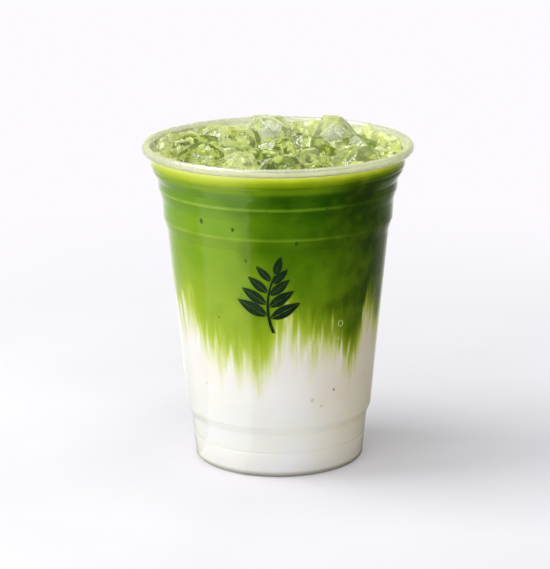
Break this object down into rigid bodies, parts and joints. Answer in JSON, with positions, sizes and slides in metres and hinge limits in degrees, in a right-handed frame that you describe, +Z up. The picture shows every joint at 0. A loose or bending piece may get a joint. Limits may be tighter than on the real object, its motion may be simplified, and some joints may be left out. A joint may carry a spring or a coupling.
{
  "type": "iced matcha latte in a cup",
  "caption": "Iced matcha latte in a clear tapered disposable cup: white milk below, green matcha above with streaks between them, filled to the brim with lumps of ice on top.",
  "frame": {"origin": "centre of the foot ring's underside", "axes": "+Z up along the cup's axis; +X to the viewer's right when the front, at -Y, is seen"},
  "size_m": [0.098, 0.098, 0.1239],
  "materials": {
    "cup": "clear, glossy thin plastic",
    "milk": "opaque creamy white liquid",
    "matcha": "opaque green liquid with a pale lime surface",
    "ice": "wet, clear, melted edges"
  },
  "bodies": {
    "root": {"cup": "cup", "ice_01": "ice", "ice_02": "ice", "ice_03": "ice", "ice_04": "ice", "ice_05": "ice", "ice_06": "ice", "ice_07": "ice", "ice_08": "ice", "ice_09": "ice", "ice_10": "ice", "ice_11": "ice", "ice_12": "ice", "ice_13": "ice", "ice_14": "ice", "ice_15": "ice", "ice_16": "ice", "ice_17": "ice", "ice_18": "ice", "ice_19": "ice", "ice_20": "ice", "ice_21": "ice", "matcha": "matcha", "milk": "milk"}
  },
  "joints": []
}
